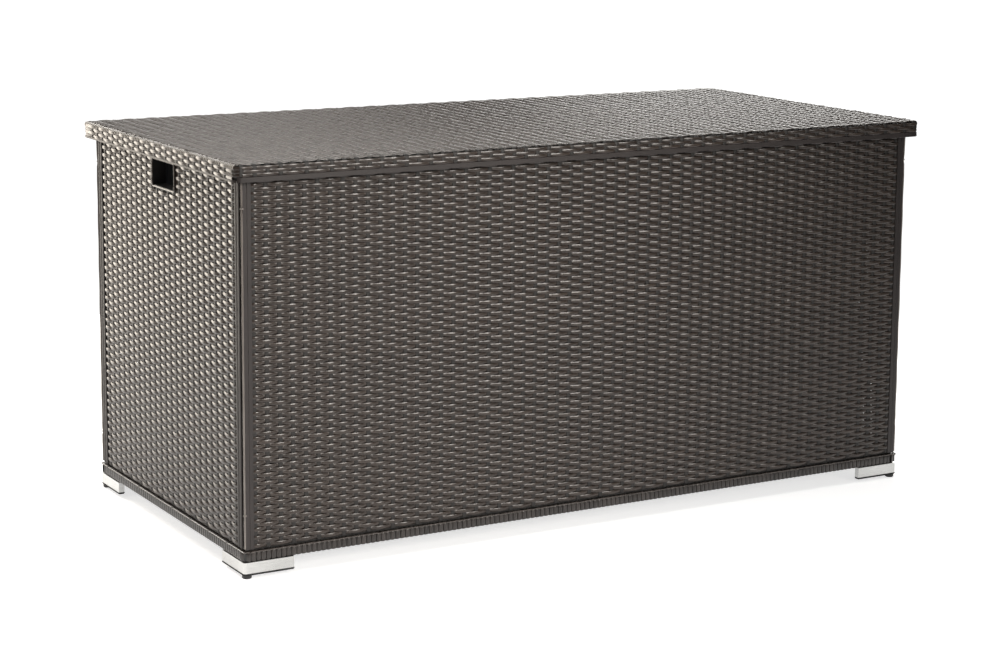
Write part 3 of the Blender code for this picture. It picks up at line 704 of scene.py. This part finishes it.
def rail_core(half_x, half_y, wall, low, high, bar_low, bar_high):
    """Square tubes of the base frame under the wrapping, and its cross bars."""
    blocks = []
    for s in (-1, 1):
        y0, y1 = sorted((s * half_y, s * (half_y - wall)))
        blocks.append(block((-half_x, y0, low), (half_x, y1, high)))
        x0, x1 = sorted((s * half_x, s * (half_x - wall)))
        blocks.append(block((x0, -half_y + wall, low), (x1, half_y - wall, high)))
    reach = half_y - wall
    for x in CROSS_BARS:
        blocks.append(block((x - BAR_W / 2, -reach, bar_low), (x + BAR_W / 2, reach, bar_high)))
    verts, quads, _ = merge(*blocks)
    soften(mesh_piece("base_rail_core", verts, quads, COAT_AND_GAP_SHADE, "box", False), 0.0012)


class PlanLoop:
    """A closed round-cornered plan loop that can be read at any distance along it."""

    def __init__(self, half_x, half_y, radius, steps):
        points, outs = round_rectangle(half_x, half_y, radius, steps)
        self.points = np.concatenate([points, points[:1]])
        self.outs = np.concatenate([outs, outs[:1]])
        gaps = np.linalg.norm(np.diff(self.points, axis=0), axis=1)
        self.place = np.concatenate([[0], np.cumsum(gaps)])
        self.length = self.place[-1]

    def read(self, spots):
        """Points and outward directions at distances along the loop."""
        plan, out = (np.stack([np.interp(spots, self.place, values[:, k]) for k in (0, 1)], 1)
                     for values in (self.points, self.outs))
        return plan, unit(out)


def lace(half_x, half_y, z):
    """Cord along the rail's top edge, rippled, and pulled in where it is tied."""
    loop = PlanLoop(half_x, half_y, RAIL_BEND, 4)
    spots = np.arange(0, loop.length, LACE_STEP)
    plan, out = loop.read(spots)
    ripple = np.cos(spots / loop.length * round(loop.length / LACE_RIPPLE) * math.tau)
    knot = np.cos(spots / loop.length * round(loop.length / LACE_KNOT) * math.tau)
    dip = np.clip((knot - KNOT_START) / (1 - KNOT_START), 0, 1)
    height = z + LACE_WAVE * ripple - LACE_DIP * dip
    plan = plan + out * (LACE_WAVE * ripple - LACE_IN * dip)[:, None]
    facing = np.column_stack([out, np.zeros(len(out))])
    swept = sweep(np.column_stack([plan, height])[None], facing[None], 2 * LACE_R, 2 * LACE_R,
                  ROUND, True)
    strand_piece("base_rail_lace", swept, HIGHLIT_LACE, "box")


# ---- lid ----

def lid_weave():
    """Lid skin: weavers over the top and down both ends, stakes over the top and down the
    front and back, edge rows woven through both, and a plain border."""
    lo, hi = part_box("lid_weave")
    half_x, half_y, top = hi.x - SKIN / 2, hi.y - SKIN / 2, hi.z - SKIN / 2 + LID_RAISE
    border_top = lo.z + BORDER_HIGH
    end_border_top = lo.z + BORDER_END_HIGH
    edge_rows = border_top + EDGE_FIRST + np.arange(EDGE_ROWS) * EDGE_ROW
    stakes = spaced(LID_STAKES, LID_STAKE)
    end_stakes = spaced(LID_END_STAKES, END_STAKE)
    lid_weavers(half_x, half_y, top, stakes)
    lid_stakes(half_x, half_y, top, stakes, border_top + STAKE_FREE, end_stakes, end_border_top)
    edge_strands(half_x, half_y, edge_rows, stakes, end_stakes)
    lowest = edge_rows[0] - (edge_rows[1] - edge_rows[0])
    end_strands(half_x, half_y, lowest, end_stakes)
    border(hi.x - BORDER_BACK, hi.y - BORDER_BACK, lo.z, border_top, end_border_top)


def lid_weavers(half_x, half_y, top, stakes):
    """Weavers over the lid's top, each bent down over both ends."""
    count = int((half_y - LID_EDGE_R) * 2 / ROW)
    rows = spaced(count, ROW)
    places = weaver_steps(-half_x + LID_EDGE_R, half_x - LID_EDGE_R, stakes, LID_STAKE)
    bend, bend_out = arc((half_x - LID_EDGE_R, top - LID_EDGE_R), LID_EDGE_R, 90, 0, 4)
    drop = np.stack([np.full(len(END_DROP), half_x), top - LID_EDGE_R - END_DROP], 1)
    drop_out = np.tile((1.0, 0.0), (len(END_DROP), 1))
    level = np.stack([places, np.full(len(places), top)], 1)
    plan = mirrored(np.concatenate([bend[1:], drop]), level)
    out = mirrored(np.concatenate([bend_out[1:], drop_out]), np.tile((0.0, 1.0), (len(places), 1)))
    swing = weave_swing(places, stakes, LID_STAKE) * LID_SWING
    end_swing = np.concatenate([np.zeros(len(bend) - 1), -END_DIVE])
    swing = np.concatenate([end_swing[::-1], swing, end_swing])
    shape = (count, len(plan))
    folded = np.abs(plan[:, 0]) > half_x - LID_EDGE_R + 1e-6
    calm = np.where(np.abs(rows) > half_y - CALM_BAND, CALM, 1.0)
    lively = alternate(count) * calm * (1 + jitter(count, LIVELY))
    offset = np.where(folded, swing, swing * lively[:, None]) + jitter(shape, WOBBLE)
    slip = np.where(folded[None], 0, jitter((count, 1), SLIP))
    paths = np.empty((*shape, 3))
    paths[..., 0] = plan[:, 0] + out[:, 0] * offset + slip
    paths[..., 1] = rows[:, None] + jitter(shape, WOBBLE)
    paths[..., 2] = plan[:, 1] + out[:, 1] * offset
    outs = np.zeros((1, len(plan), 3))
    outs[..., ::2] = out
    for part, share in zip(("front", "middle", "back"), np.array_split(paths, 3)):
        weavers = strand_piece("lid_weavers_" + part,
                               sweep(share, outs, STRAND_W, STRAND_T), WICKER, "lid")
        if part == "front":
            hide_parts("lid_weave")


def lid_stakes(half_x, half_y, top, stakes, low, end_stakes, end_low):
    """Stakes over the lid's top and down its front and back to low, and up each end."""
    over, over_out = arc((half_y - LID_EDGE_R, top - LID_EDGE_R), LID_EDGE_R, 90, 0, 5)
    plan = mirrored(np.concatenate([over, [(half_y, low)]]))
    out = mirrored(np.concatenate([over_out, [(1.0, 0.0)]]))
    paths = np.zeros((len(stakes), len(plan), 3))
    paths[..., 0] = stakes[:, None]
    paths[..., 1:] = plan
    outs = np.zeros((1, len(plan), 3))
    outs[..., 1:] = out
    strand_piece("lid_stakes", sweep(paths, outs, STAKE_W, STAKE_T), SHADED_STAKE, "lid")
    upright = []
    for sx in (-1, 1):
        paths = straight_stakes(1, end_stakes, sx * half_x, end_low, top - LID_EDGE_R)
        upright.append(sweep(paths, (sx, 0, 0), STAKE_W, STAKE_T))
    strand_piece("lid_end_stakes", merge(*upright), SHADED_STAKE, "lid")


def edge_strands(half_x, half_y, edge_rows, stakes, end_stakes):
    """Strands round the lid's edge, over and under the stakes on every side."""
    long_places = weaver_steps(-half_x + LID_CORNER_R, half_x - LID_CORNER_R, stakes, LID_STAKE)
    long_swing = weave_swing(long_places, stakes, LID_STAKE) * EDGE_SWING
    end_limit = half_y - LID_CORNER_R
    end_places = weaver_steps(-end_limit, end_limit, end_stakes, END_STAKE)
    end_swing = weave_swing(end_places, end_stakes, END_STAKE) * EDGE_SWING
    corner, corner_out = arc((0, 0), LID_CORNER_R, -90, 0, 5)
    inner = np.array((half_x - LID_CORNER_R, half_y - LID_CORNER_R))
    points, outs, swings = [], [], []
    for quarter in range(4):
        long_side = quarter % 2 == 0
        places, swing = (long_places, long_swing) if long_side else (end_places, end_swing)
        limit = half_y if long_side else half_x
        line = np.stack([places, np.full(len(places), -limit)], 1)
        facing = np.tile((0.0, -1.0), (len(places), 1))
        reach = inner if long_side else inner[::-1]
        line = np.concatenate([line, corner[1:] + reach * (1, -1)])
        facing = np.concatenate([facing, corner_out[1:]])
        angle = quarter * math.pi / 2
        turn = np.array([[math.cos(angle), math.sin(angle)], [-math.sin(angle), math.cos(angle)]])
        points.append(line @ turn)
        outs.append(facing @ turn)
        swings.append(np.concatenate([swing, np.zeros(len(corner) - 1)]))
    points, outs, swings = (np.concatenate(x) for x in (points, outs, swings))
    paths = np.empty((len(edge_rows), len(points), 3))
    paths[..., :2] = points + outs * (swings * alternate(len(edge_rows))[:, None])[..., None]
    paths[..., 2] = edge_rows[:, None]
    facing = np.zeros((1, len(points), 3))
    facing[..., :2] = outs
    strand_piece("lid_edge_strands", sweep(paths, facing, EDGE_W, EDGE_T, CROWNED, True),
                 WICKER, "lid")


def end_strands(half_x, half_y, z, end_stakes):
    """One more strand across each end of the lid, below those that go all round."""
    limit = half_y - LID_CORNER_R
    places = weaver_steps(-limit, limit, end_stakes, END_STAKE)
    swing = -weave_swing(places, end_stakes, END_STAKE) * EDGE_SWING
    swept = []
    for sx in (-1, 1):
        path = np.stack([sx * (half_x + swing), places, np.full(len(places), z)], 1)
        swept.append(sweep(path[None], (sx, 0, 0), EDGE_W, EDGE_T))
    strand_piece("lid_end_strands", merge(*swept), WICKER, "lid")


def border(outer_x, outer_y, low, high, end_high):
    """Plain flat strips along the lid's lower edge, narrow across the ends."""
    radius = LID_CORNER_R
    for name, first, top in (("lid_border_long", 0, high), ("lid_border_ends", 1, end_high)):
        second = 1 - first
        along, across = (outer_x, outer_y)[first], (outer_x, outer_y)[second]
        line = np.linspace(-along + radius, along - radius, BORDER_STEPS)
        bend, bend_out = arc((along - radius - BORDER_INSET, radius + BORDER_INSET), radius,
                             -90, -50, 4)
        plan = mirrored(bend[1:], np.stack([line, np.full(len(line), BORDER_INSET)], 1))
        out = mirrored(bend_out[1:], np.tile((0.0, -1.0), (len(line), 1)))
        swept = []
        for sign in (-1, 1):
            path = np.empty((1, len(plan), 3))
            facing = np.zeros((1, len(plan), 3))
            path[0, :, first] = plan[:, 0]
            path[0, :, second] = -sign * (plan[:, 1] - across)
            path[0, :, 2] = (low + top) / 2
            facing[0, :, first] = out[:, 0]
            facing[0, :, second] = -sign * out[:, 1]
            swept.append(sweep(path, facing, top - low, BORDER_T, FLAT))
        strand_piece(name, merge(*swept), STRIP, "lid")


# ---- liner ----

LINER_CLEAR = 0.003  # from the CAD walls' outer faces
LINER_ROUND = 0.028  # bend at its corners
LINER_POINTS = 480  # mesh points round it
WALL_RINGS = 44  # and rings down its wall
FLOOR_RINGS = 34  # and across its floor
SAG = 0.011  # how far the top edge drops between straps
BELLY = 0.010  # how far the wall leans in between straps
BELLY_TOP = 0.0035  # and what of that is left at its top edge
CREASE = 0.0034  # depth of the folds down the wall
FOOT = 0.06  # lowest share of the wall, which bends in to the floor
FOOT_IN = 0.010
FLOOR_LIFT = 0.0012  # height of the floor's wrinkles
HEM_W = 0.010
HEM_T = 0.0030
STRAP_X = (-0.45, 0.0, 0.45)  # hanging straps along the front and back
STRAP_PULL = 0.07  # how far a strap's pull reaches along the edge
STRAP_W = 0.025
STRAP_T = 0.0014


def strap_pull(plan, half_x, half_y):
    """1 where a strap or corner holds the liner's top edge, falling to 0 between them."""
    x, y = np.abs(plan).T
    near_strap = np.min(np.abs(plan[:, :1] - np.array(STRAP_X)), axis=1)
    near = np.where(y > half_y - 0.01, near_strap, y)
    return np.exp(-(np.minimum(near, np.hypot(half_x - x, half_y - y)) / STRAP_PULL) ** 2)


def liner():
    """One cut of coated cloth sewn up at its corners: a bag that sags between its straps, with
    soft folds down its walls and a floor that lies wrinkled on the board."""
    lo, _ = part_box("liner_floor")
    _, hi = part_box("liner_right")
    front_lo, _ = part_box("liner_front")
    half_x, half_y = hi.x - LINER_CLEAR, -front_lo.y - LINER_CLEAR
    low, high = lo.z + 0.0012, hi.z - 0.002
    count = LINER_POINTS
    loop = PlanLoop(half_x, half_y, LINER_ROUND, 8)
    plan, out = loop.read(np.arange(count) * loop.length / count)
    pull = strap_pull(plan, half_x, half_y)
    turn = np.arctan2(plan[:, 1] / half_y, plan[:, 0] / half_x)
    folds = (0.45 * np.cos(37 * turn + 0.8) + 0.35 * np.cos(61 * turn + 2.1)
             + 0.20 * np.cos(97 * turn + 4.0))
    loops = []
    for share in np.linspace(1, 0, WALL_RINGS):
        height = low + (high - low) * share
        sag = SAG * (1 - pull) * share ** 3
        belly = BELLY * math.sin(math.pi * min(share * 1.15, 1)) + BELLY_TOP
        crease = CREASE * folds * (0.35 + 0.65 * share) * (1 - 0.6 * pull)
        slack = 0.0016 * np.cos(9 * turn + 14 * share) + 0.0012 * np.cos(23 * turn - 31 * share)
        inward = np.maximum(belly * (1 - pull) + crease + slack, 0.0)
        if share < FOOT:
            inward = inward + FOOT_IN * (1 - share / FOOT) ** 2
        loops.append(np.column_stack([plan - out * inward[:, None], height - sag]))
    for share in np.linspace(0.985, 0.02, FLOOR_RINGS):
        flat = plan * share - out * FOOT_IN * share
        ripple = (np.sin(17 * flat[:, 0] + 3) * np.sin(23 * flat[:, 1] + 1)
                  + 0.6 * np.sin(41 * flat[:, 0] + 19 * flat[:, 1]))
        lift = np.maximum(FLOOR_LIFT * ripple, 0) * min(1, (1 - share) * 8)
        loops.append(np.column_stack([flat, low + lift]))
    verts = np.concatenate(loops)
    ring = np.arange(count)
    after = np.roll(ring, -1)
    quads = [np.stack([ring + k * count, after + k * count, after + (k + 1) * count,
                       ring + (k + 1) * count], 1) for k in range(len(loops) - 1)]
    bag = mesh_piece("liner_bag", verts, np.concatenate(quads)[:, ::-1], FABRIC, "box")
    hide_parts("liner_floor", "liner_front", "liner_back", "liner_left", "liner_right")
    facing = np.column_stack([out, np.zeros(count)])[None]
    hem_path = loops[0][None] - facing * 0.0008
    hem = strand_piece("liner_hem", sweep(hem_path, facing, HEM_W, HEM_T, ROUND, True),
                       WEBBING, "box")
    straps = liner_straps(loops[0])


def liner_straps(edge):
    """Webbing tabs that hold the liner's hem to the front and back frames."""
    frame_lo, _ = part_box("back_frame")
    swept = []
    for sy in (-1, 1):
        for x in STRAP_X:
            side = edge[edge[:, 1] * sy > 0]
            held = side[np.argmin(np.abs(side[:, 0] - x))]
            top = held[2] + 0.010
            path = np.array([(x, held[1] - sy * 0.0030, held[2] - 0.030),
                             (x, held[1] - sy * 0.0034, held[2]),
                             (x, held[1] - sy * 0.0016, top),
                             (x, sy * (frame_lo.y - 0.0020), top + 0.0060)])
            swept.append(sweep(path[None], (0, -sy, 0.05), STRAP_W, STRAP_T, FLAT))
    return strand_piece("liner_straps", merge(*swept), WEBBING, "box")


# ---- carried-over CAD nodes ----

def soften(piece, width):
    """Rounded edges by modifier, shaded smooth where they are round."""
    bevel = piece.modifiers.new("edges", "BEVEL")
    bevel.width = width
    bevel.segments = 2
    bevel.limit_method = "ANGLE"
    bevel.angle_limit = math.radians(40)
    bevel.harden_normals = True


def finish_node(name, material, bevel=0.0):
    piece = nodes[name]
    for i in range(len(piece.data.materials)):
        piece.data.materials[i] = material
    if bevel:
        soften(piece, bevel)


PAD_GROWTH = 0.0015  # how far the pads under the feet grow on every side


def thicken(name, outward):
    """Grow a thin CAD plate a little on every side, so its dark edge shows under the foot."""
    shell = nodes[name].modifiers.new("edge", "SOLIDIFY")
    shell.thickness = outward
    shell.offset = 1


FINISHES = (  # parts of names, the first match counts; material; bevel
    (("_frame", "lid_rim"), COAT_AND_GAP_SHADE, 0.0012),
    (("foot_screw", "bolt_", "_hinge_"), ZINC, 0.0003),
    (("_bracket",), ZINC, 0.0004),
    (("foot_pad",), PAD, 0.0),
    (("foot_",), FOOT_X, 0.0006),
    (("glide_",), GLIDE, 0.0004),
    (("_cylinder",), STRUT, 0.0),
    (("_rod",), CHROME, 0.0),
    (("_bumper",), RUBBER, 0.0005),
    (("floor_panel",), BOARD, 0.0008),
    (("_hand_hole_trim",), COAT_AND_GAP_SHADE, 0.0006))


def cad_finishes():
    """Materials and rounded edges of the CAD nodes that stay as they are."""
    for name in nodes:
        match = next((rest for words, *rest in FINISHES if any(w in name for w in words)), None)
        if match and name != "base_frame":
            finish_node(name, *match)
        if name.startswith("foot_pad"):
            thicken(name, PAD_GROWTH)


# ---- stage ----

FLOOR_R = 2.1
FLOOR_SIDES = 64
FLOOR_GLOW = 0.66  # own light of the floor, so that it fades into the surround
SURROUND_SEEN = 1.1  # the surround as the camera sees it
SURROUND_FELT = 0.12  # and as it lights the box


def stage():
    """Pale floor that fades into a white surround."""
    points, _ = arc((0, 0), FLOOR_R, 0, 360, FLOOR_SIDES)
    mesh = bpy.data.meshes.new("floor")
    mesh.from_pydata([(x, y, 0) for x, y in points[:-1]], [], [list(range(FLOOR_SIDES))])
    made = Shader("floor_paper", (0.82, 0.82, 0.82), 0.9)
    made.out.inputs["Emission Color"].default_value = (1, 1, 1, 1)
    made.out.inputs["Emission Strength"].default_value = FLOOR_GLOW
    made.out.inputs["Specular IOR Level"].default_value = 0.1
    mesh.materials.append(made.material)
    floor = bpy.data.objects.new("floor", mesh)
    scene.collection.objects.link(floor)
    world = bpy.data.worlds.new("surround")
    scene.world = world
    world.use_nodes = True
    tree = world.node_tree
    path = tree.nodes.new("ShaderNodeLightPath")
    mix = tree.nodes.new("ShaderNodeMixShader")
    tree.links.new(path.outputs["Is Camera Ray"], mix.inputs["Fac"])
    felt = tree.nodes.new("ShaderNodeBackground")
    shown = tree.nodes["Background"]
    for glow, strength, slot in ((felt, SURROUND_FELT, 1), (shown, SURROUND_SEEN, 2)):
        glow.inputs["Color"].default_value = (1, 1, 1, 1)
        glow.inputs["Strength"].default_value = strength
        tree.links.new(glow.outputs[0], mix.inputs[slot])
    tree.links.new(mix.outputs[0], tree.nodes["World Output"].inputs["Surface"])
    scene.view_settings.view_transform = "Standard"


WARM = (1.0, 0.91, 0.79)
PALE = (1.0, 0.95, 0.89)
WHITE = (1.0, 0.985, 0.95)


def soft_light(name, place, width, height, watts, colour, target=(0, 0, 0.4), spread=math.pi):
    """A rectangle of light at a place, facing the target; a small spread makes it a beam."""
    light = bpy.data.lights.new(name, "AREA")
    light.shape = "RECTANGLE"
    light.size = width
    light.size_y = height
    light.energy = watts
    light.color = colour
    light.spread = spread
    holder = bpy.data.objects.new(name, light)
    holder.location = place
    aim = Vector(target) - Vector(place)
    holder.rotation_euler = aim.to_track_quat("-Z", "Y").to_euler()
    holder.visible_camera = False
    scene.collection.objects.link(holder)


def lights():
    soft_light("left_back_window", (-1.75, 3.9, 1.3), 2.2, 4.4, 178, WARM)
    soft_light("left_high_strip", (-1.5, 3.9, 3.4), 2.4, 0.8, 110, WHITE)
    soft_light("left_fill", (-4.0, 0.2, 2.0), 2.0, 2.0, 25, WARM)
    soft_light("back_panel_left", (1.15, 4.6, 1.9), 1.5, 3.2, 31, WHITE)
    soft_light("back_panel_middle", (2.4, 4.6, 1.9), 1.0, 3.2, 6, WHITE)
    soft_light("back_panel_right", (4.2, 4.6, 1.9), 2.4, 3.2, 122, WHITE)
    soft_light("front_softbox", (0.75, -3.7, 1.85), 1.3, 1.5, 12, PALE, (-0.68, -0.37, 0.66), 0.85)
    soft_light("overhead", (0, 0, 4.5), 3.5, 3.5, 120, WHITE)


CAMERA_TURN = (29.981, 9.254, 0.417)  # degrees to the right, down and of roll
CAMERA_PLACE = (-2.4196, -4.1726, 1.3132)
CAMERA_LENS = 85.24
CAMERA_SHIFT = -0.10


def camera():
    """The view from the front left, looking a little down."""
    yaw, pitch, roll = (math.radians(a) for a in CAMERA_TURN)
    forward = Vector((math.sin(yaw) * math.cos(pitch), math.cos(yaw) * math.cos(pitch),
                      -math.sin(pitch)))
    data = bpy.data.cameras.new("camera")
    data.sensor_width = 36
    data.lens = CAMERA_LENS
    data.shift_y = CAMERA_SHIFT
    holder = bpy.data.objects.new("camera", data)
    turn = forward.to_track_quat("-Z", "Y").to_matrix().to_4x4()
    roll_turn = Matrix.Rotation(roll, 4, "Z")
    holder.matrix_world = Matrix.Translation(CAMERA_PLACE) @ turn @ roll_turn
    scene.collection.objects.link(holder)
    scene.camera = holder


for end_name, sign in (("front", -1), ("back", 1)):
    long_panel(end_name, sign)
for side_name, sign in (("left", -1), ("right", 1)):
    end_panel(side_name, sign)
    hole_trim(side_name, sign)
    for end_name, end_sign in (("front", -1), ("back", 1)):
        corner_cord(end_name + "_" + side_name, sign, end_sign)
base_rail()
lid_weave()
liner()
cad_finishes()
stage()
lights()
camera()
